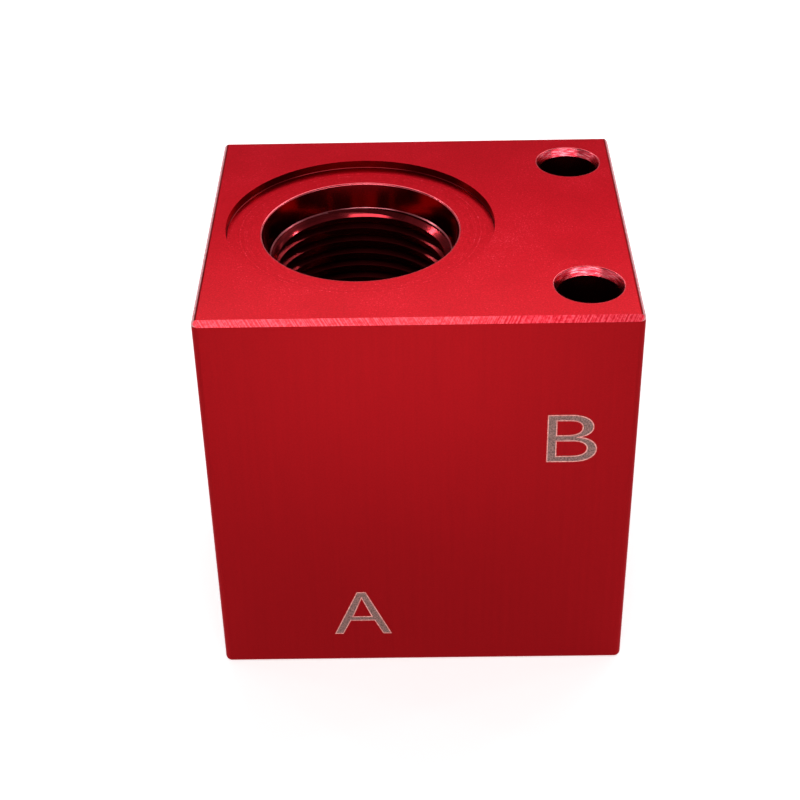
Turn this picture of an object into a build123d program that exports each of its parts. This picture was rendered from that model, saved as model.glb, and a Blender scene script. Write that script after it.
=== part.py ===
from build123d import *
import os
from math import radians, tan

# Hydraulic manifold block for one two-way screw-in cartridge valve.
# Millimetres. +Z up. The origin is the middle of the base, at the bottom face.
# One solid: a machined bar with a cartridge cavity, two ports and two bolt holes.

# Block
block_width = 50.0  # along X
block_depth = 44.0  # along Y
block_height = 51.0  # along Z
corner_radius = 0.8  # on the four upright edges
edge_chamfer = 0.6  # round the top and bottom faces

# Cartridge cavity, 7/8-14 UNF, open at the top
cavity_from_left = 18.2  # left face to the cavity's axis
cavity_spotface_dia = 32.3
cavity_spotface_depth = 1.0
cavity_mouth_dia = 24.0  # at the spotface floor
cavity_mouth_break = 0.12  # sharp edge taken off at the mouth
cavity_seat_angle = 15.0  # O-ring seat, from the axis
cavity_seat_depth = 3.0
cavity_tap_dia = 20.5  # minor diameter of the thread
cavity_tap_depth = 22.5  # spotface floor to the shoulder
seal_lead_dia = 17.5  # where the lead-in starts on the shoulder
seal_lead_angle = 30.0  # from the axis
seal_bore_dia = 15.9  # takes the nose of the cartridge
seal_bore_depth = 32.0  # spotface floor to the cavity's bottom

# Ports A and B, 9/16-18 UNF straight-thread ports
port_spotface_dia = 25.0
port_spotface_depth = 0.3
port_mouth_dia = 15.6  # at the spotface floor
port_seat_angle = 12.0  # O-ring seat, from the axis
port_seat_depth = 2.5
port_tap_dia = 12.9  # minor diameter of the thread
port_tap_depth = 15.5  # spotface floor to the end of the full diameter
port_passage_dia = 8.0  # drilling from each port into the cavity
port_b_clearance = 0.5  # shoulder of the cavity to the side of port B's drilling

# Bolt holes, right through from top to bottom
bolt_hole_dia = 7.2  # clearance for M6 or 1/4 in
bolt_countersink_dia = 8.0  # at both ends
bolt_countersink_angle = 22.0  # from the axis
bolt_hole_from_right = 5.7  # right face to the holes' axes
bolt_hole_spacing = 30.0  # along Y

# Tooling
thread_chamfer_angle = 45.0  # between each seat and its thread, from the axis
drill_point_angle = 59.0  # from the axis

# Places that follow from the sizes above
cavity_x = cavity_from_left - block_width / 2
cavity_floor_z = block_height - cavity_spotface_depth
shoulder_z = cavity_floor_z - cavity_tap_depth
cavity_bottom_z = cavity_floor_z - seal_bore_depth
port_b_z = shoulder_z + port_b_clearance + port_passage_dia / 2
bolt_hole_x = block_width / 2 - bolt_hole_from_right


def cone_length(wide_dia, narrow_dia, angle):
    """Length of a cone between two diameters, its side at angle to the axis."""
    return (wide_dia - narrow_dia) / 2 / tan(radians(angle))


def cone_end_dia(wide_dia, length, angle):
    """Diameter at the narrow end of a cone of that length."""
    return wide_dia - 2 * length * tan(radians(angle))


def bore_tool(steps):
    """Cutter turned about Z, from (diameter, depth below the face) steps in order."""
    wall = [(dia / 2, -depth) for dia, depth in steps]
    axis_top = (0, wall[0][1])
    axis_end = (0, wall[-1][1])
    outline = Polyline(axis_top, *wall, axis_end, close=True)
    return revolve(Plane.XZ * make_face(outline), Axis.Z)


def block_blank():
    blank = Pos(0, 0, block_height / 2) * Box(block_width, block_depth, block_height)
    blank = fillet(blank.edges() | Axis.Z, corner_radius)
    ends = blank.faces() | Axis.Z
    return chamfer(ends.edges(), edge_chamfer)


def cavity_tool():
    """Spotface, seat, thread bore, shoulder and seal bore. Z = 0 is the top face."""
    floor = cavity_spotface_depth
    seat_top_dia = cavity_mouth_dia - 2 * cavity_mouth_break
    seat_end = floor + cavity_seat_depth
    seat_length = cavity_seat_depth - cavity_mouth_break
    seat_end_dia = cone_end_dia(seat_top_dia, seat_length, cavity_seat_angle)
    thread_start = seat_end + cone_length(seat_end_dia, cavity_tap_dia, thread_chamfer_angle)
    shoulder = floor + cavity_tap_depth
    seal_start = shoulder + cone_length(seal_lead_dia, seal_bore_dia, seal_lead_angle)
    return bore_tool([
        (cavity_spotface_dia, 0),
        (cavity_spotface_dia, floor),
        (cavity_mouth_dia, floor),
        (seat_top_dia, floor + cavity_mouth_break),
        (seat_end_dia, seat_end),
        (cavity_tap_dia, thread_start),
        (cavity_tap_dia, shoulder),
        (seal_lead_dia, shoulder),
        (seal_bore_dia, seal_start),
        (seal_bore_dia, floor + seal_bore_depth),
    ])


def port_tool(reach):
    """Spotface, seat, thread bore and drilling, which ends at reach. Z = 0 is the face."""
    floor = port_spotface_depth
    seat_end = floor + port_seat_depth
    seat_end_dia = cone_end_dia(port_mouth_dia, port_seat_depth, port_seat_angle)
    thread_start = seat_end + cone_length(seat_end_dia, port_tap_dia, thread_chamfer_angle)
    tap_end = floor + port_tap_depth
    point_end = tap_end + cone_length(port_tap_dia, port_passage_dia, drill_point_angle)
    tool = bore_tool([
        (port_spotface_dia, 0),
        (port_spotface_dia, floor),
        (port_mouth_dia, floor),
        (seat_end_dia, seat_end),
        (port_tap_dia, thread_start),
        (port_tap_dia, tap_end),
        (port_passage_dia, point_end),
    ])
    drilling = Pos(0, 0, -reach / 2) * Cylinder(port_passage_dia / 2, reach)
    return tool + drilling


def bolt_hole_tool():
    """Through hole with a countersink at each end. Z = 0 is the top face."""
    countersink = cone_length(bolt_countersink_dia, bolt_hole_dia, bolt_countersink_angle)
    return bore_tool([
        (bolt_countersink_dia, 0),
        (bolt_hole_dia, countersink),
        (bolt_hole_dia, block_height - countersink),
        (bolt_countersink_dia, block_height),
    ])


def manifold_block():
    block = block_blank()
    block -= Pos(cavity_x, 0, block_height) * cavity_tool()
    # Port A comes up from the base, in line with the cavity
    block -= Pos(cavity_x, 0, 0) * Rot(180, 0, 0) * port_tool(cavity_bottom_z)
    # Port B comes in from the right face, above the cavity's shoulder
    port_b_reach = block_width / 2 - cavity_x
    block -= Pos(block_width / 2, 0, port_b_z) * Rot(0, 90, 0) * port_tool(port_b_reach)
    for y in (-bolt_hole_spacing / 2, bolt_hole_spacing / 2):
        block -= Pos(bolt_hole_x, y, block_height) * bolt_hole_tool()
    return block


os.makedirs("parts", exist_ok=True)
export_step(manifold_block(), "parts/manifold_block.step")
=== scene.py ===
import math

import bpy
from mathutils import Euler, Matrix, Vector


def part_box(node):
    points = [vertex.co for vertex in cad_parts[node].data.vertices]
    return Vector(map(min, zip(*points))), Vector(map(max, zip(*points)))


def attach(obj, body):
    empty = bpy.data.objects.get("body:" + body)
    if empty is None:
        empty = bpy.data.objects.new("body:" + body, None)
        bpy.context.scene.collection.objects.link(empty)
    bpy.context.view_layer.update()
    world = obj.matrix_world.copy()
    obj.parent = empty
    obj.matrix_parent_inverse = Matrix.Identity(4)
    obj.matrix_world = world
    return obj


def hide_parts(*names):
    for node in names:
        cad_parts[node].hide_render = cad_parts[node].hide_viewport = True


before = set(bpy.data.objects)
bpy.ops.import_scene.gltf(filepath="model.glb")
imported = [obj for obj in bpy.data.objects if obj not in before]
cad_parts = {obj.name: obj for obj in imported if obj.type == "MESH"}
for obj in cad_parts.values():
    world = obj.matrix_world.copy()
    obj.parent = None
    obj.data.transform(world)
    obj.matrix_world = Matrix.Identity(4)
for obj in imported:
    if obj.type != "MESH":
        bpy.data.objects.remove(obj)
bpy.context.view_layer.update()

# A hydraulic manifold block of red anodised aluminium, with its threads and port letters.
# The dictionaries hold millimetres and degrees; times mm, a length is in metres.

low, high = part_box("manifold_block")
size = high - low
mm = 0.001
topZ = high.z / mm
rightX = high.x / mm
slack = 0.01  # mm, for faces that lie in one plane
margin = 0.1  # mm, how far past a round wall its faces are looked for


def deselectAll():
    if bpy.context.object and bpy.context.object.mode == "EDIT":
        bpy.ops.object.mode_set(mode="OBJECT")
    bpy.ops.object.select_all(action="DESELECT")


def onlySelect(piece):
    deselectAll()
    piece.select_set(True)
    bpy.context.view_layer.objects.active = piece


def editAll(piece):
    onlySelect(piece)
    bpy.ops.object.mode_set(mode="EDIT")
    bpy.ops.mesh.select_all(action="SELECT")


def endEdit():
    bpy.ops.object.mode_set(mode="OBJECT")


def pickFrom(piece, kind):
    # nothing stays selected, so that code can select by place
    onlySelect(piece)
    bpy.ops.object.mode_set(mode="EDIT")
    bpy.ops.mesh.select_mode(type=kind)
    bpy.ops.mesh.select_all(action="DESELECT")
    bpy.ops.object.mode_set(mode="OBJECT")


def selectEdges(piece, wanted):
    # ends in edit mode, with the edges whose two ends pass the test
    pickFrom(piece, "EDGE")
    for edge in piece.data.edges:
        edge.select = wanted(*(piece.data.vertices[v].co for v in edge.vertices))
    bpy.ops.object.mode_set(mode="EDIT")


def selectCorners(piece, wanted):
    # ends in edit mode, with the corners that pass the test
    pickFrom(piece, "VERT")
    for corner in piece.data.vertices:
        corner.select = wanted(corner.co)
    bpy.ops.object.mode_set(mode="EDIT")


def faceOutwards(piece):
    editAll(piece)
    bpy.ops.mesh.normals_make_consistent(inside=False)
    endEdit()


def freezePlace(piece):
    # the place goes into the mesh, the object stays at the origin
    onlySelect(piece)
    bpy.ops.object.transform_apply(location=True, rotation=True, scale=True)


def placeCutter(cutter, place, turn=(0, 0, 0)):
    cutter.rotation_euler = turn
    cutter.location = [part * mm for part in place]
    freezePlace(cutter)
    return cutter


def copyPiece(piece, name):
    onlySelect(piece)
    bpy.ops.object.duplicate(linked=False)
    twin = bpy.context.object
    twin.name = name
    return twin


def cutAway(piece, cutter):
    onlySelect(piece)
    cut = piece.modifiers.new("cut", "BOOLEAN")
    cut.operation = "DIFFERENCE"
    cut.solver = "EXACT"
    cut.object = cutter
    bpy.ops.object.modifier_apply(modifier=cut.name)
    bpy.data.objects.remove(cutter)


block = {
    "cornerRadius": 0.8,  # on the upright edges
    "edgeRadius": 0.58,  # round the top and bottom faces
    "edgeSteps": 8,  # in each of these rounds
    "lipSteps": 7,  # in the small round at the mouth of a bore
    "smoothBelow": 12.0,  # just over the turn from one such step to the next
    "milledChamfer": 0.62,  # front and back edges of the top
    "overshoot": 1.0,  # how far a cutter reaches outside the face or into the cavity
}
cavity = {
    "x": -6.8,
    "spotfaceDia": 32.3,
    "spotfaceDepth": 1.0,
    "spotfaceFoot": 0.1,  # corner radius left by the cutter
    "mouthDia": 23.82,  # where the seat would meet the spotface floor
    "mouthLip": 0.2,  # radius of that edge
    "seatAngle": 15.0,  # this and the other angles are from the axis
    "seatDepth": 3.0,
    "upperRing": 0.14,  # burnished ring at the seat's end, painted paler as a highlight and a burnished ring at the start of the thread
    "lowerRing": 0.26,  # and at the start of the thread
    "upperConeAngle": 52.0,  # the chamfer between is two cones, flat and then steep
    "middleDia": 21.36,  # where they meet
    "tapDia": 20.5,
    "tapDepth": 22.5,
    "leadDia": 17.5,
    "leadAngle": 30.0,
    "sealDia": 15.9,
    "sealDepth": 32.0,
    "finishDepth": 6.0,  # deeper than this, all has the thread's finish
    "segments": 160,
}
port = {
    "bZ": 32.0,
    "spotfaceDia": 25.0,
    "spotfaceDepth": 0.3,
    "mouthDia": 15.6,
    "mouthLip": 0.15,
    "seatAngle": 12.0,
    "seatDepth": 2.5,
    "tapDia": 12.9,
    "tapDepth": 15.5,
    "passageDia": 8.0,
    "pointAngle": 59.0,
    "finishDepth": 3.0,  # as in the cavity
    "segments": 96,
}
portPlaces = {  # where each port's cutters go, and how they turn from pointing down
    "A": ((cavity["x"], 0, 0), (math.pi, 0, 0)),
    "B": ((rightX, 0, port["bZ"]), (0, math.pi / 2, 0)),
}
boltHole = {
    "x": 19.3,
    "y": 15.0,
    "dia": 7.2,
    "countersinkDia": 8.0,
    "countersinkAngle": 22.0,
    "lip": 0.12,  # radius between the top and the countersink
    "segments": 72,
}
threadForm = {  # shared by the three threads
    "flankAngle": 30.0,  # from square to the axis
    "rootFlat": 1 / 8,  # of the pitch
    "chamferAngle": 45.0,  # between the seat and the thread, from the axis
}
cavityThread = {  # 7/8-14 UNF
    "pitch": 25.4 / 14,
    "majorDia": 22.12,  # clear of the seat's end
    "minorDia": 20.5,
    "overlap": 0.3,  # the cutter reaches this far inside the bore
    "turns": 9,
    "crestAtBack": 6.82,  # below the top face
    "crestsBelow": 6,
}
portThread = {  # 9/16-18 UNF
    "pitch": 25.4 / 18,
    "majorDia": 14.28,
    "minorDia": 12.9,
    "overlap": 0.25,
    "turns": 8,
    "firstZ": -12.6,
}


def coneLength(wideDia, narrowDia, angle):
    return (wideDia - narrowDia) / 2 / math.tan(math.radians(angle))


sinkDepth = coneLength(boltHole["countersinkDia"], boltHole["dia"], boltHole["countersinkAngle"])


def roundedLip(dia, depth, radius, wallAngle):
    # steps round the edge where a flat floor turns down into a bore's wall
    turn = 90 - wallAngle
    count = block["lipSteps"]
    reach = radius * math.tan(math.radians(turn / 2))
    turns = [math.radians(turn * i / count) for i in range(count + 1)]
    return [(dia + 2 * reach - 2 * radius * math.sin(a), depth + radius * (1 - math.cos(a)))
            for a in turns]


def turnedCutter(name, steps, segments):
    # a round bar that points down, with a (diameter, depth below z = 0) pair for each step
    firstDia, firstDepth = steps[0]
    deselectAll()
    bpy.ops.mesh.primitive_circle_add(vertices=segments, radius=firstDia / 2 * mm,
                                      fill_type="NGON", location=(0, 0, -firstDepth * mm))
    cutter = bpy.context.object
    cutter.name = name
    freezePlace(cutter)
    editAll(cutter)
    for (upperDia, upperDepth), (dia, depth) in zip(steps, steps[1:]):
        down = (0, 0, (upperDepth - depth) * mm)
        bpy.ops.mesh.extrude_region_move(TRANSFORM_OT_translate={"value": down})
        grow = dia / upperDia
        bpy.ops.transform.resize(value=(grow, grow, 1), center_override=(0, 0, -depth * mm))
    faceOutwards(cutter)
    return cutter


def threadCutter(name, thread, firstZ, segments):
    # the groove's outline, wound right-handed up the axis from firstZ
    inner = thread["minorDia"] / 2 - thread["overlap"]
    root = thread["majorDia"] / 2
    middle = (root + inner) / 2
    rootFlat = thread["pitch"] * threadForm["rootFlat"]
    mouth = rootFlat + 2 * (root - inner) * math.tan(math.radians(threadForm["flankAngle"]))
    deselectAll()
    bpy.ops.mesh.primitive_plane_add(size=1, rotation=(math.pi / 2, 0, 0))
    cutter = bpy.context.object
    cutter.name = name
    cutter.scale = ((root - inner) * mm, mouth * mm, 1)
    cutter.location = (middle * mm, 0, firstZ * mm)
    freezePlace(cutter)
    selectCorners(cutter, lambda c: c.x > middle * mm)
    bpy.ops.transform.resize(value=(1, 1, rootFlat / mouth),
                             center_override=(root * mm, 0, firstZ * mm))
    endEdit()
    wind = cutter.modifiers.new("wind", "SCREW")
    wind.axis = "Z"
    wind.angle = math.tau
    wind.screw_offset = thread["pitch"] * mm
    wind.iterations = thread["turns"]
    wind.steps = segments
    wind.render_steps = segments
    bpy.ops.object.modifier_apply(modifier=wind.name)
    editAll(cutter)
    bpy.ops.mesh.select_mode(type="EDGE")
    bpy.ops.mesh.remove_doubles(threshold=0.0001 * mm)
    bpy.ops.mesh.select_all(action="DESELECT")
    bpy.ops.mesh.select_non_manifold()
    bpy.ops.mesh.fill_holes(sides=0)
    bpy.ops.mesh.select_all(action="SELECT")
    bpy.ops.mesh.quads_convert_to_tris()
    faceOutwards(cutter)
    cutter.rotation_euler = (0, 0, math.pi / segments)  # its edges miss the bore's edges
    freezePlace(cutter)
    return cutter


def threadChamfer():
    # the (diameter, depth) of the seat's end, ring's end, cones' meeting, ring's start and bore
    seatEnd = cavity["spotfaceDepth"] + cavity["seatDepth"]
    slope = math.tan(math.radians(cavity["seatAngle"]))
    seatEndDia = cavity["mouthDia"] - 2 * cavity["seatDepth"] * slope
    boreStart = seatEnd + coneLength(seatEndDia, cavity["tapDia"], threadForm["chamferAngle"])
    upperEnd = seatEnd + cavity["upperRing"]
    upperDia = seatEndDia - 2 * cavity["upperRing"]
    upper = coneLength(upperDia, cavity["middleDia"], cavity["upperConeAngle"])
    return [
        (seatEndDia, seatEnd),
        (upperDia, upperEnd),
        (cavity["middleDia"], upperEnd + upper),
        (cavity["tapDia"] + 2 * cavity["lowerRing"], boreStart - cavity["lowerRing"]),
        (cavity["tapDia"], boreStart),
    ]


def cavityCutter():
    floor = cavity["spotfaceDepth"]
    foot = cavity["spotfaceFoot"]
    shoulder = floor + cavity["tapDepth"]
    sealStart = shoulder + coneLength(cavity["leadDia"], cavity["sealDia"], cavity["leadAngle"])
    cutter = turnedCutter("cavityCutter", [
        (cavity["spotfaceDia"], -block["overshoot"]),
        (cavity["spotfaceDia"], floor - foot),
        (cavity["spotfaceDia"] - 0.6 * foot, floor - 0.3 * foot),  # halfway round the foot
        (cavity["spotfaceDia"] - 2 * foot, floor),
        *roundedLip(cavity["mouthDia"], floor, cavity["mouthLip"], cavity["seatAngle"]),
        *threadChamfer(),
        (cavity["tapDia"], shoulder),
        (cavity["leadDia"], shoulder),
        (cavity["sealDia"], sealStart),
        (cavity["sealDia"], floor + cavity["sealDepth"]),
    ], cavity["segments"])
    return placeCutter(cutter, (cavity["x"], 0, topZ))


def cavityThreadCutter():
    # a crest stands at the back: half a pitch from a groove, a quarter turn on from its start
    pitches = cavityThread["crestsBelow"] + 1 / 2 + 1 / 4
    firstZ = -cavityThread["crestAtBack"] - pitches * cavityThread["pitch"]
    cutter = threadCutter("cavityThreadCutter", cavityThread, firstZ, cavity["segments"])
    return placeCutter(cutter, (cavity["x"], 0, topZ))


def portCutter(letter, reach):
    floor = port["spotfaceDepth"]
    seatEnd = floor + port["seatDepth"]
    seatSlope = math.tan(math.radians(port["seatAngle"]))
    seatEndDia = port["mouthDia"] - 2 * port["seatDepth"] * seatSlope
    boreStart = seatEnd + coneLength(seatEndDia, port["tapDia"], threadForm["chamferAngle"])
    tapEnd = floor + port["tapDepth"]
    pointEnd = tapEnd + coneLength(port["tapDia"], port["passageDia"], port["pointAngle"])
    cutter = turnedCutter("port" + letter + "Cutter", [
        (port["spotfaceDia"], -block["overshoot"]),
        (port["spotfaceDia"], floor),
        *roundedLip(port["mouthDia"], floor, port["mouthLip"], port["seatAngle"]),
        (seatEndDia, seatEnd),
        (port["tapDia"], boreStart),
        (port["tapDia"], tapEnd),
        (port["passageDia"], pointEnd),
        (port["passageDia"], reach),
    ], port["segments"])
    return placeCutter(cutter, *portPlaces[letter])


def boltHoleCutter():
    lip = roundedLip(boltHole["countersinkDia"], 0, boltHole["lip"], boltHole["countersinkAngle"])
    outside = (lip[0][0], -block["overshoot"])
    upperHalf = [outside, *lip, (boltHole["dia"], sinkDepth)]
    lowerHalf = [(dia, topZ - depth) for dia, depth in reversed(upperHalf)]
    cutter = turnedCutter("boltHoleCutter", upperHalf + lowerHalf, boltHole["segments"])
    return placeCutter(cutter, (boltHole["x"], -boltHole["y"], topZ))


def chamferCutter(side):
    # a bar on its corner, one face 45 degrees across the edge between the top and this side
    leg = block["milledChamfer"] * mm
    bar = 4 * leg
    out = leg / 2 - bar / 2 * math.sqrt(0.5)
    deselectAll()
    bpy.ops.mesh.primitive_cube_add(size=1, rotation=(-side * math.pi / 4, 0, 0))
    cutter = bpy.context.object
    cutter.name = "chamferCutter"
    cutter.scale = (size.x + 2 * bar, 2 * bar, bar)
    cutter.location = (0, side * (high.y - out), high.z - out)
    freezePlace(cutter)
    return cutter


def makeBlank():
    deselectAll()
    bpy.ops.mesh.primitive_cube_add(size=1, location=(low + high) / 2)
    body = bpy.context.object
    body.name = "anodisedBlock"
    body.scale = size
    freezePlace(body)
    selectEdges(body, lambda a, b: abs(a.z - b.z) > size.z / 2)
    bpy.ops.mesh.bevel(offset=block["cornerRadius"] * mm, offset_type="OFFSET",
                       segments=block["edgeSteps"])
    selectEdges(body, lambda a, b: abs(a.z - b.z) < slack * mm)
    bpy.ops.mesh.bevel(offset=block["edgeRadius"] * mm, offset_type="OFFSET",
                       segments=block["edgeSteps"])
    faceOutwards(body)
    for side in (-1, 1):
        cutAway(body, chamferCutter(side))
    print("blank rounded and chamfered")
    return body


def cutBores(body):
    cutAway(body, cavityCutter())
    cavityBottom = topZ - cavity["spotfaceDepth"] - cavity["sealDepth"]
    cutAway(body, portCutter("A", cavityBottom + block["overshoot"]))
    cutAway(body, portCutter("B", rightX - cavity["x"]))
    front = boltHoleCutter()
    back = copyPiece(front, "boltHoleCutterBack")
    placeCutter(back, (0, 2 * boltHole["y"], 0))
    cutAway(body, front)
    cutAway(body, back)
    print("cavity, ports and bolt holes cut")


def cutThreads(body):
    cutAway(body, cavityThreadCutter())
    grooveA = threadCutter("portAThreadCutter", portThread, portThread["firstZ"],
                           port["segments"])
    grooveB = copyPiece(grooveA, "portBThreadCutter")
    cutAway(body, placeCutter(grooveA, *portPlaces["A"]))
    cutAway(body, placeCutter(grooveB, *portPlaces["B"]))
    print("threads cut")


def smoothRounds(body):
    onlySelect(body)
    bpy.ops.object.shade_smooth_by_angle(angle=math.radians(block["smoothBelow"]))
    # the broad faces stay flat up to the rounded edges beside them
    even = body.modifiers.new("even", "WEIGHTED_NORMAL")
    even.keep_sharp = True
    even.weight = 100
    bpy.ops.object.modifier_apply(modifier=even.name)


def colour(hexCode):
    # sRGB hex to linear
    parts = [int(hexCode[i:i + 2], 16) / 255 for i in (1, 3, 5)]
    linear = [p / 12.92 if p <= 0.04045 else ((p + 0.055) / 1.055) ** 2.4 for p in parts]
    return (*linear, 1)


def emptyTree(owner):
    owner.use_nodes = True
    owner.node_tree.nodes.clear()
    return owner.node_tree


def addNode(tree, kind, settings=None, links=None):
    # settings name a property, an input or a ramp's stops; links map an input to an output
    node = tree.nodes.new(kind)
    for key, value in (settings or {}).items():
        if key == "stops":
            places = node.color_ramp.elements
            while len(places) < len(value):
                places.new(0.5)
            for place, (position, hexCode) in zip(places, value):
                place.position = position
                place.color = colour(hexCode)
        elif isinstance(key, str) and hasattr(node, key):
            setattr(node, key, value)
        else:
            node.inputs[key].default_value = value
    for key, source in (links or {}).items():
        tree.links.new(source, node.inputs[key])
    return node


def newMaterial(name, settings):
    made = bpy.data.materials.new(name)
    tree = emptyTree(made)
    shader = addNode(tree, "ShaderNodeBsdfPrincipled", settings)
    addNode(tree, "ShaderNodeOutputMaterial", links={"Surface": shader.outputs[0]})
    place = addNode(tree, "ShaderNodeTexCoord").outputs["Object"]
    return made, tree, shader, place


def anodised(name, roughness, coat, coatRoughness):
    # red dyed metal: the glancing edge stays red, and the sealed outside adds a little gloss
    return newMaterial(name, {
        "Metallic": 1.0, "Roughness": roughness, "Specular Tint": colour("#ffc0c4"),
        "Coat Weight": coat, "Coat Roughness": coatRoughness,
    })


def dress(tree, shader, pattern, stops, strength, depth):
    # one pattern gives both the dye's shades and the relief, depth in mm
    tint = addNode(tree, "ShaderNodeValToRGB", {"stops": stops}, {"Fac": pattern})
    bump = addNode(tree, "ShaderNodeBump", {"Strength": strength, "Distance": depth * mm},
                   {"Height": pattern})
    tree.links.new(tint.outputs[0], shader.inputs["Base Color"])
    tree.links.new(bump.outputs[0], shader.inputs["Normal"])


satinGrain = 0.16  # mm; the etch pits of about 0.05 mm are drawn this wide so that they show
topShades = [(0.36, "#ac0c16"), (0.62, "#c81222"), (0.75, "#ee5064")]
# the sides' reds, darker than the top's, are painted shade
sideShadedTones = [(0.36, "#7c070d"), (0.62, "#900b12"), (0.75, "#b02a32")]


def satinTop():
    # milled, etched, dyed and sealed: an even satin with a fine bright grain, in faint
    # clouds 9 mm wide
    made, tree, shader, place = anodised("satinAnodisedTop", 0.32, 0.1, 0.15)
    grain = addNode(tree, "ShaderNodeTexNoise", {"Scale": 1 / (satinGrain * mm), "Detail": 2.0},
                    {"Vector": place})
    cloud = addNode(tree, "ShaderNodeTexNoise", {"Scale": 1 / (9 * mm), "Detail": 2.0},
                    {"Vector": place})
    both = addNode(tree, "ShaderNodeMix", {0: 0.25}, {2: grain.outputs[0], 3: cloud.outputs[0]})
    dress(tree, shader, both.outputs[0], topShades, 0.25, 0.02)
    return made


def streakedShadedSides():
    # drawn bar, etched, dyed and sealed: faint upright lines about 0.5 mm apart left by the die,
    # under a grain drawn 0.2 mm wide so that it shows; its reds, darker than the top's, are painted
    # shade
    made, tree, shader, place = anodised("streakedSidesPaintedShade", 0.36, 0.05, 0.3)
    stretch = addNode(tree, "ShaderNodeMapping", {"Scale": (1, 1, 0.03)}, {"Vector": place})
    lines = addNode(tree, "ShaderNodeTexNoise", {"Scale": 1 / (0.5 * mm), "Detail": 3.0},
                    {"Vector": stretch.outputs[0]})
    grain = addNode(tree, "ShaderNodeTexNoise", {"Scale": 1 / (0.2 * mm), "Detail": 2.0},
                    {"Vector": place})
    both = addNode(tree, "ShaderNodeMix", {0: 0.7}, {2: lines.outputs[0], 3: grain.outputs[0]})
    # darker reds than the top's: painted shade on the sides
    dress(tree, shader, both.outputs[0], [(0.3, "#84070e"), (0.7, "#900a11")], 0.1, 0.02)
    return made


def turnedFloor(name, centre, across, shades):
    # faced with a fine feed, then dyed: turning lines 0.2 mm apart round the centre (mm),
    # under the top's etched grain; across is 0 along the bore's axis
    made, tree, shader, place = anodised(name, 0.32, 0.1, 0.15)
    centred = addNode(tree, "ShaderNodeMapping", {"Location": [-c * mm for c in centre]},
                      {"Vector": place})
    flat = addNode(tree, "ShaderNodeVectorMath", {"operation": "MULTIPLY", 1: across},
                   {0: centred.outputs[0]})
    reach = addNode(tree, "ShaderNodeVectorMath", {"operation": "LENGTH"}, {0: flat.outputs[0]})
    lines = addNode(tree, "ShaderNodeTexNoise",
                    {"noise_dimensions": "1D", "Scale": 1 / (0.2 * mm), "Detail": 1.0},
                    {"W": reach.outputs["Value"]})
    grain = addNode(tree, "ShaderNodeTexNoise", {"Scale": 1 / (satinGrain * mm), "Detail": 2.0},
                    {"Vector": place})
    both = addNode(tree, "ShaderNodeMix", {0: 0.75}, {2: lines.outputs[0], 3: grain.outputs[0]})
    dress(tree, shader, both.outputs[0], shades, 0.22, 0.02)
    return made


chamferFinish = {
    "leans": (0.9, -0.7),  # sideways for each mm of height, at the left and at the right
    "leanFrom": -6.0,  # along X, where the left lean starts to turn into the right one
    "leanTo": 10.0,
    "gloss": 0.3,  # of the left end; the right end has none
    "glossTo": 4.0,
    "dullFrom": 12.0,
}


def millCutChamfer():
    # cut by a chattering mill, then dyed: bright slanted strokes 0.22 mm apart, torn here and
    # there by a pattern 0.3 mm wide
    gloss = chamferFinish["gloss"]
    made, tree, shader, place = anodised("millCutAnodisedChamfer", 0.3, gloss, 0.12)
    parts = addNode(tree, "ShaderNodeSeparateXYZ", links={0: place})
    strokes = []
    for lean in chamferFinish["leans"]:
        slant = addNode(tree, "ShaderNodeMath", {"operation": "MULTIPLY_ADD", 1: lean},
                        {0: parts.outputs[2], 2: parts.outputs[0]})
        strokes.append(addNode(tree, "ShaderNodeTexNoise",
                               {"noise_dimensions": "1D", "Scale": 1 / (0.22 * mm), "Detail": 3.0},
                               {"W": slant.outputs[0]}))
    side = addNode(tree, "ShaderNodeMapRange", {"From Min": chamferFinish["leanFrom"] * mm,
                                                "From Max": chamferFinish["leanTo"] * mm},
                   {"Value": parts.outputs[0]})
    stroke = addNode(tree, "ShaderNodeMix", links={
        0: side.outputs[0], 2: strokes[0].outputs[0], 3: strokes[1].outputs[0]})
    torn = addNode(tree, "ShaderNodeTexNoise", {"Scale": 1 / (0.3 * mm), "Detail": 3.0},
                   {"Vector": place})
    both = addNode(tree, "ShaderNodeMix", {0: 0.4}, {2: stroke.outputs[0], 3: torn.outputs[0]})
    dress(tree, shader, both.outputs[0],
          [(0.4, "#b41a26"), (0.48, "#cc2836"), (0.58, "#de4856")], 0.3, 0.03)
    dulling = addNode(tree, "ShaderNodeMapRange", {"From Min": chamferFinish["glossTo"] * mm,
                                                   "From Max": chamferFinish["dullFrom"] * mm,
                                                   "To Min": gloss, "To Max": 0.0},
                      {"Value": parts.outputs[0]})
    tree.links.new(dulling.outputs[0], shader.inputs["Coat Weight"])
    return made


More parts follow.
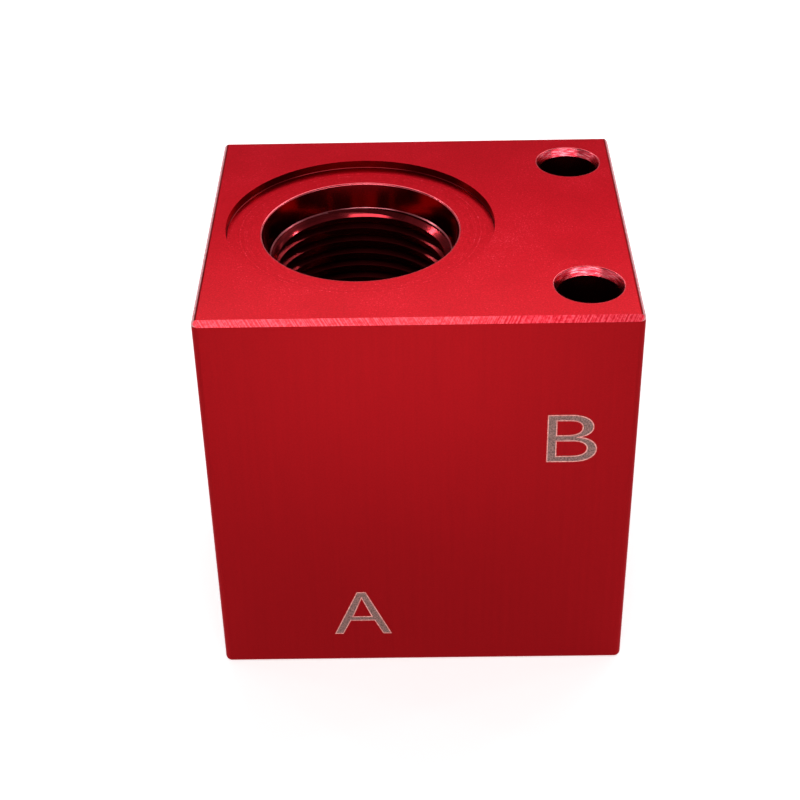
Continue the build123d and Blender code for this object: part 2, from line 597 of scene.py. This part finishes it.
def chatterAndHighlightCountersink():
    # countersunk by hand, then dyed: broken strokes round the hole, the same at both holes; the
    # strokes are real chatter, their pink, paler than the top's dye, is painted highlight
    strokeLength = 1.2  # mm
    strokeGap = 0.12  # mm
    made, tree, shader, place = anodised("chatteredCountersinkPaintedHighlight", 0.24, 0.05, 0.15)
    mirrored = addNode(tree, "ShaderNodeVectorMath", {"operation": "ABSOLUTE"}, {0: place})
    centred = addNode(tree, "ShaderNodeMapping",
                      {"Location": (-boltHole["x"] * mm, -boltHole["y"] * mm, 0)},
                      {"Vector": mirrored.outputs[0]})
    parts = addNode(tree, "ShaderNodeSeparateXYZ", links={0: centred.outputs[0]})
    angle = addNode(tree, "ShaderNodeMath", {"operation": "ARCTAN2"},
                    {0: parts.outputs[1], 1: parts.outputs[0]})
    around = addNode(tree, "ShaderNodeMath",
                     {"operation": "MULTIPLY", 1: boltHole["countersinkDia"] / 2 / strokeLength},
                     {0: angle.outputs[0]})
    down = addNode(tree, "ShaderNodeMath", {"operation": "MULTIPLY", 1: 1 / (strokeGap * mm)},
                   {0: parts.outputs[2]})
    spread = addNode(tree, "ShaderNodeCombineXYZ", links={0: around.outputs[0], 1: down.outputs[0]})
    chatter = addNode(tree, "ShaderNodeTexNoise",
                      {"noise_dimensions": "2D", "Scale": 1.0, "Detail": 2.0},
                      {"Vector": spread.outputs[0]})
    # paler pinks than the top's dye: painted highlight over the real chatter
    dress(tree, shader, chatter.outputs[0],
          [(0.38, "#c42434"), (0.5, "#dc4050"), (0.62, "#ec7884")], 0.2, 0.04)
    return made


def smoothBore(name, roughness, coat, darkHex, lightHex):
    # reamed, tapped or burnished, then dyed: glossy, with the dye a little deeper in clouds
    # 1.5 mm wide where the acid pooled; the two colours set the surface's tone, which for the seat,
    # thread and wall is darker than the top's dye as painted shade, and for the lip and upper ring
    # paler as painted highlight
    made, tree, shader, place = anodised(name, roughness, coat, 0.15)
    cloud = addNode(tree, "ShaderNodeTexNoise", {"Scale": 1 / (1.5 * mm), "Detail": 3.0},
                    {"Vector": place})
    dress(tree, shader, cloud.outputs[0], [(0.3, darkHex), (0.7, lightHex)], 0.1, 0.01)
    return made


def paleEdgeHighlight():
    # a pale pink line on the rounds: painted highlight, standing in for the bright horizon they
    # mirror
    made, tree, shader, place = anodised("paintedHighlightEdge", 0.3, 0.4, 0.12)
    wear = addNode(tree, "ShaderNodeTexNoise", {"Scale": 1 / (0.4 * mm), "Detail": 3.0},
                   {"Vector": place})
    dress(tree, shader, wear.outputs[0], [(0.35, "#c07a80"), (0.65, "#deb4b8")], 0.2, 0.02)
    return made


edgeHighlight = {  # the steps of the rounds at the left and right of the top that take the painted highlight, by their normals
    "sideways": 0.4,
    "upFrom": 0.1,
    "upTo": 0.92,
}


def finishOf(centre, normal):
    # which finish a face takes, from its centre (mm) and normal; reach is from a bore's axis
    depth = topZ - centre.z
    fromEnd = min(depth, centre.z)
    flat = max(abs(part) for part in normal) > 0.999
    inside = min(centre.x - low.x / mm, rightX - centre.x, centre.y - low.y / mm,
                 high.y / mm - centre.y, fromEnd)
    boltReach = Vector((centre.x - boltHole["x"], abs(centre.y) - boltHole["y"])).length
    cavityReach = Vector((centre.x - cavity["x"], centre.y)).length
    bReach = Vector((centre.y, centre.z - port["bZ"])).length
    if flat and inside < slack:
        return "top" if abs(normal.z) > 0.5 else "side"
    if depth < block["milledChamfer"] and abs(abs(normal.y) - abs(normal.z)) < slack:
        return "chamfer"
    if boltReach < boltHole["countersinkDia"] / 2 + boltHole["lip"]:
        if fromEnd < boltHole["lip"]:
            return "lip"
        return "countersink" if fromEnd < sinkDepth else "thread"
    if cavityReach < cavity["spotfaceDia"] / 2 + margin and depth < cavity["finishDepth"]:
        return cavityFinish(depth, cavityReach, flat and normal.z > 0.5)
    for name, reach, portDepth in (("portAFloor", cavityReach, centre.z),
                                   ("portBFloor", bReach, rightX - centre.x)):
        if reach < port["spotfaceDia"] / 2 + margin and portDepth < port["finishDepth"]:
            if portDepth > port["spotfaceDepth"] + port["mouthLip"]:
                return "seat"
            return name if flat and reach > port["mouthDia"] / 2 else "lip"
    if inside < block["cornerRadius"]:
        # the steps that face the pale horizon take the pale painted highlight
        isHighlit = abs(normal.x) > edgeHighlight["sideways"] and edgeHighlight["upFrom"] < normal.z < edgeHighlight["upTo"]
        return "edge" if isHighlit else "side"
    return "thread"


def cavityFinish(depth, reach, level):
    floor = cavity["spotfaceDepth"]
    mouth = cavity["mouthDia"] / 2
    wall = cavity["spotfaceDia"] / 2
    seatEnd, upperRingEnd, _, lowerRingStart, boreStart = (step[1] for step in threadChamfer())
    if depth < floor + slack and reach > mouth:
        if level:
            return "cavityFloor"
        return "wall" if reach > (mouth + wall) / 2 else "lip"
    if depth < floor + cavity["mouthLip"]:
        return "lip"
    if depth < seatEnd:
        return "seat"
    if depth < upperRingEnd:
        return "upperRing"
    inBore = reach < cavity["tapDia"] / 2 + slack or depth > boreStart
    return "thread" if inBore or depth < lowerRingStart else "lowerRing"


def finishBlock(body):
    cavityCentre = (cavity["x"], 0, 0)
    portBCentre = (0, 0, port["bZ"])
    finishes = {
        "top": satinTop(),
        "side": streakedShadedSides(),
        "cavityFloor": turnedFloor("turnedAnodisedSpotface", cavityCentre, (1, 1, 0), topShades),
        "portAFloor": turnedFloor("turnedAnodisedPortA", cavityCentre, (1, 1, 0), topShades),
        # port B lies in a side, so its floor takes the sides' darker reds, a painted shade
        "portBFloor": turnedFloor("turnedPortBPaintedShade", portBCentre, (0, 1, 1), sideShadedTones),
        "edge": paleEdgeHighlight(),
        # darker than the top's dye: painted shade on the seat
        "seat": smoothBore("reamedSeatPaintedShade", 0.12, 0.05, "#72070c", "#800a12"),
        # darker than the top's dye: painted shade in the threads and bores
        "thread": smoothBore("tappedThreadPaintedShade", 0.26, 0.05, "#7e1e24", "#90262c"),  # and bores
        "chamfer": millCutChamfer(),
        "countersink": chatterAndHighlightCountersink(),
        # darkest of all: painted shade on the spotface's wall
        "wall": smoothBore("turnedWallPaintedShade", 0.2, 0.1, "#5c060c", "#6a0810"),
        # paler than the top's dye: painted highlight on the lips
        "lip": smoothBore("burnishedLipPaintedHighlight", 0.2, 0.5, "#dc4450", "#ec6672"),
        # pale pink: painted highlight on the ring
        "upperRing": smoothBore("burnishedRingPaintedHighlight", 0.3, 0.15, "#c85660", "#e48890"),
        "lowerRing": smoothBore("tappedAnodisedEdge", 0.16, 0.3, "#a01c28", "#c02834"),
    }
    for finish in finishes.values():
        body.data.materials.append(finish)
    order = list(finishes)
    for face in body.data.polygons:
        face.material_index = order.index(finishOf(face.center / mm, face.normal))
    print("block finished")


anodisedBlock = makeBlank()
cutBores(anodisedBlock)
cutThreads(anodisedBlock)
smoothRounds(anodisedBlock)
finishBlock(anodisedBlock)
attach(anodisedBlock, "root")
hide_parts("manifold_block")


mark = {  # the laser marks that name the ports
    "proud": 0.02,
    "sunk": 0.03,  # so that each one sits in the block
    "rim": 0.13,  # width of the line round each stroke
}
letterA = {
    "centre": (-7.38, 8.06),  # across and up the front face
    "width": 7.12,
    "height": 6.87,
    "apexBand": 0.1,  # holds the corners of the flat top
    "apexGrow": 1.5,
    "counterReach": 0.6,  # to each side, holds the counter's peak
    "counterLift": 0.45,
    "barFoot": (-1.9, -1.1),  # hold the corners under the bar
    "barLift": 0.18,
    "barShrink": 0.95,
}
letterB = {
    "centre": (17.5, 34.62),
    "width": 5.78,
    "height": 6.7,
    "bowlTop": 0.2,  # of the lower bowl
    "bowlShrink": 0.89,
    "stemInside": (-2.3, -1.0),  # hold the stem's inner corners
    "stemThin": 0.16,
}


def letterMesh(letter, name):
    # flat in the XY plane
    deselectAll()
    bpy.ops.object.text_add()
    piece = bpy.context.object
    piece.name = name
    piece.data.body = letter
    piece.data.resolution_u = 8
    bpy.ops.object.convert(target="MESH")
    editAll(piece)
    bpy.ops.mesh.remove_doubles(threshold=0.0001)
    bpy.ops.mesh.dissolve_limited(angle_limit=math.radians(0.5))
    endEdit()
    return piece


def fitLetter(piece, shape):
    # centred, and as wide and high (mm) as the shape says
    corners = [v.co.copy() for v in piece.data.vertices]
    lowX, highX = min(c.x for c in corners), max(c.x for c in corners)
    lowY, highY = min(c.y for c in corners), max(c.y for c in corners)
    editAll(piece)
    bpy.ops.transform.translate(value=(-(lowX + highX) / 2, -(lowY + highY) / 2, 0))
    bpy.ops.transform.resize(value=(shape["width"] / (highX - lowX),
                                    shape["height"] / (highY - lowY), 1),
                             center_override=(0, 0, 0))
    endEdit()


def reshapeA(piece):
    # a wide flat top with a taller counter under it, and a thinner bar
    peak = letterA["height"] / 2
    apexFoot = peak - letterA["apexBand"]
    barLow, barHigh = letterA["barFoot"]
    selectCorners(piece, lambda c: c.y > apexFoot)
    bpy.ops.transform.resize(value=(letterA["apexGrow"], 1, 1), center_override=(0, peak, 0))
    selectCorners(piece, lambda c: 0 < c.y < apexFoot and abs(c.x) < letterA["counterReach"])
    bpy.ops.transform.translate(value=(0, letterA["counterLift"], 0))
    selectCorners(piece, lambda c: barLow < c.y < barHigh)
    bpy.ops.transform.translate(value=(0, letterA["barLift"], 0))
    bpy.ops.transform.resize(value=(letterA["barShrink"], 1, 1), center_override=(0, 0, 0))


def reshapeB(piece):
    # the lower bowl stands out less, and the stem is thinner
    stemLow, stemHigh = letterB["stemInside"]
    selectCorners(piece, lambda c: c.y < letterB["bowlTop"] and c.x > 0)
    bpy.ops.transform.resize(value=(letterB["bowlShrink"], 1, 1), center_override=(0, 0, 0))
    selectCorners(piece, lambda c: stemLow < c.x < stemHigh)
    bpy.ops.transform.translate(value=(-letterB["stemThin"], 0, 0))


def thickenLetter(piece, fill, rim):
    # from the XY plane to the front face, with the rim as its own faces
    thick = mark["sunk"] + mark["proud"]
    editAll(piece)
    bpy.ops.mesh.select_mode(type="FACE")
    bpy.ops.mesh.extrude_region_move(TRANSFORM_OT_translate={"value": (0, -thick * mm, 0)})
    bpy.ops.mesh.inset(thickness=mark["rim"] * mm, depth=0, use_boundary=True)
    endEdit()
    piece.data.materials.append(rim)
    piece.data.materials.append(fill)
    for face in piece.data.polygons:
        face.material_index = int(face.select)  # the inset left the fill selected
    faceOutwards(piece)


def markLetter(letter, shape, reshape, fill, rim):
    piece = letterMesh(letter, "portMark" + letter)
    fitLetter(piece, shape)
    reshape(piece)
    endEdit()
    fitLetter(piece, shape)
    x, z = shape["centre"]
    piece.rotation_euler = (math.pi / 2, 0, 0)
    piece.scale = (mm, mm, mm)
    piece.location = (x * mm, low.y + mark["sunk"] * mm, z * mm)
    freezePlace(piece)
    thickenLetter(piece, fill, rim)
    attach(piece, "root")


def bleachedOxide():
    # the laser bleaches the dye to a chalky grey-brown, in dots 0.2 mm apart
    made, tree, shader, place = newMaterial("laserBleachedOxide",
                                            {"Roughness": 0.6, "Metallic": 0.3})
    dots = addNode(tree, "ShaderNodeTexNoise", {"Scale": 1 / (0.2 * mm), "Detail": 3.0},
                   {"Vector": place})
    dress(tree, shader, dots.outputs[0], [(0.38, "#604440"), (0.62, "#9c746e")], 0.2, 0.02)
    return made


def meltedRim():
    # and melts a paler pink line round each stroke, uneven every 0.3 mm
    made, tree, shader, place = newMaterial("laserMeltedRim", {"Roughness": 0.5, "Metallic": 0.3})
    speck = addNode(tree, "ShaderNodeTexNoise", {"Scale": 1 / (0.3 * mm), "Detail": 3.0},
                    {"Vector": place})
    dress(tree, shader, speck.outputs[0], [(0.35, "#cc7470"), (0.65, "#f0b0a8")], 0.2, 0.02)
    return made


markFill = bleachedOxide()
markRim = meltedRim()
markLetter("A", letterA, reshapeA, markFill, markRim)
markLetter("B", letterB, reshapeB, markFill, markRim)
print("port letters marked")


floorSheet = {
    "size": 8000.0,
    "hex": "#f4f4f4",
    "gap": 0.02,  # keeps the sheet clear of the underside
    "lift": 0.6,  # seen by camera, glossy and transmission rays only
}
softboxes = {  # place, aim, width, height, and the radiance that a mirror would show
    "backSoftbox": ((100, 455, 540), (100, 0, 51), 600, 360, 2.4),  # the top's sheen
    "leftGlint": ((-396, 311, 537), (0, 0, 51), 30, 30, 50.0),  # glints in the cavity
    "rightGlint": ((396, 311, 537), (0, 0, 51), 30, 30, 50.0),
    "leftRingGlint": ((-578, 179, 455), (0, 0, 51), 30, 30, 60.0),  # and on its rings
    "rightRingGlint": ((578, 179, 455), (0, 0, 51), 30, 30, 60.0),
    "frontSoftbox": ((-95, -330, 560), (-95, 0, 51), 410, 220, 2.8),  # for the front chamfer
    "lowFrontSoftbox": ((120, -760, 300), (0, 0, 51), 1700, 160, 3.4),  # for the front face
}
floorSpot = {
    "place": (0, -400, 420),
    "aim": (-4, -112, 0),
    "cone": 10.0,
    "watts": 18.0,
    "softness": 20.0,  # radius of the lamp
}
camera = {
    "place": (-0.07, -174.71, 148.15),
    "turn": (54.78, 1.008, 0.081),
    "lens": 74.5,
    "sensorWidth": 36.0,
    "clipStart": 10.0,
}


def makeFloor():
    deselectAll()
    bpy.ops.mesh.primitive_plane_add(size=floorSheet["size"] * mm,
                                     location=(0, 0, low.z - floorSheet["gap"] * mm))
    floor = bpy.context.object
    floor.name = "paleFloor"
    freezePlace(floor)
    paper = bpy.data.materials.new("palePaper")
    tree = emptyTree(paper)
    sheet = addNode(tree, "ShaderNodeBsdfDiffuse", {"Color": colour(floorSheet["hex"])})
    rays = addNode(tree, "ShaderNodeLightPath")
    seen = addNode(tree, "ShaderNodeMath", {"operation": "ADD"},
                   {0: rays.outputs["Is Camera Ray"], 1: rays.outputs["Is Glossy Ray"]})
    seenAll = addNode(tree, "ShaderNodeMath", {"operation": "ADD", "use_clamp": True},
                      {0: seen.outputs[0], 1: rays.outputs["Is Transmission Ray"]})
    lift = addNode(tree, "ShaderNodeMath", {"operation": "MULTIPLY", 1: floorSheet["lift"]},
                   {0: seenAll.outputs[0]})
    glow = addNode(tree, "ShaderNodeEmission", links={"Strength": lift.outputs[0]})
    both = addNode(tree, "ShaderNodeAddShader", links={0: sheet.outputs[0], 1: glow.outputs[0]})
    addNode(tree, "ShaderNodeOutputMaterial", links={"Surface": both.outputs[0]})
    floor.data.materials.append(paper)


def newLamp(kind, name, place, aim):
    deselectAll()
    bpy.ops.object.light_add(type=kind, location=Vector(place) * mm)
    lamp = bpy.context.object
    lamp.name = name
    away = Vector(place) - Vector(aim)
    lamp.rotation_euler = away.to_track_quat("Z", "Y").to_euler()
    return lamp


def addSoftbox(name, place, aim, width, height, radiance):
    lamp = newLamp("AREA", name, place, aim)
    lamp.data.shape = "RECTANGLE"
    lamp.data.size = width * mm
    lamp.data.size_y = height * mm
    lamp.data.energy = radiance * math.pi * width * height * mm * mm
    lamp.visible_camera = False


def addFloorSpot():
    # a soft pool on the paper in front, which the front face mirrors
    lamp = newLamp("SPOT", "floorSpot", floorSpot["place"], floorSpot["aim"])
    lamp.data.energy = floorSpot["watts"]
    lamp.data.spot_size = math.radians(floorSpot["cone"])
    lamp.data.spot_blend = 1.0
    lamp.data.shadow_soft_size = floorSpot["softness"] * mm


def makeWorld():
    # white round the horizon, and grey from 20 degrees up
    world = bpy.data.worlds.new("paleRoom")
    bpy.context.scene.world = world
    tree = emptyTree(world)
    place = addNode(tree, "ShaderNodeTexCoord")
    split = addNode(tree, "ShaderNodeSeparateXYZ", links={0: place.outputs["Generated"]})
    shade = addNode(tree, "ShaderNodeValToRGB", {"stops": [(0.2, "#ffffff"), (0.34, "#606060")]},
                    {"Fac": split.outputs[2]})
    sky = addNode(tree, "ShaderNodeBackground", links={"Color": shade.outputs[0]})
    addNode(tree, "ShaderNodeOutputWorld", links={"Surface": sky.outputs[0]})


def makeCamera():
    deselectAll()
    bpy.ops.object.camera_add(location=Vector(camera["place"]) * mm)
    eye = bpy.context.object
    eye.rotation_euler = Euler([math.radians(a) for a in camera["turn"]])
    eye.data.sensor_width = camera["sensorWidth"]
    eye.data.lens = camera["lens"]
    eye.data.clip_start = camera["clipStart"] * mm
    bpy.context.scene.camera = eye


makeFloor()
makeWorld()
for name, values in softboxes.items():
    addSoftbox(name, *values)
addFloorSpot()
makeCamera()
bpy.context.scene.view_settings.view_transform = "Standard"
print("stage, light and camera set")
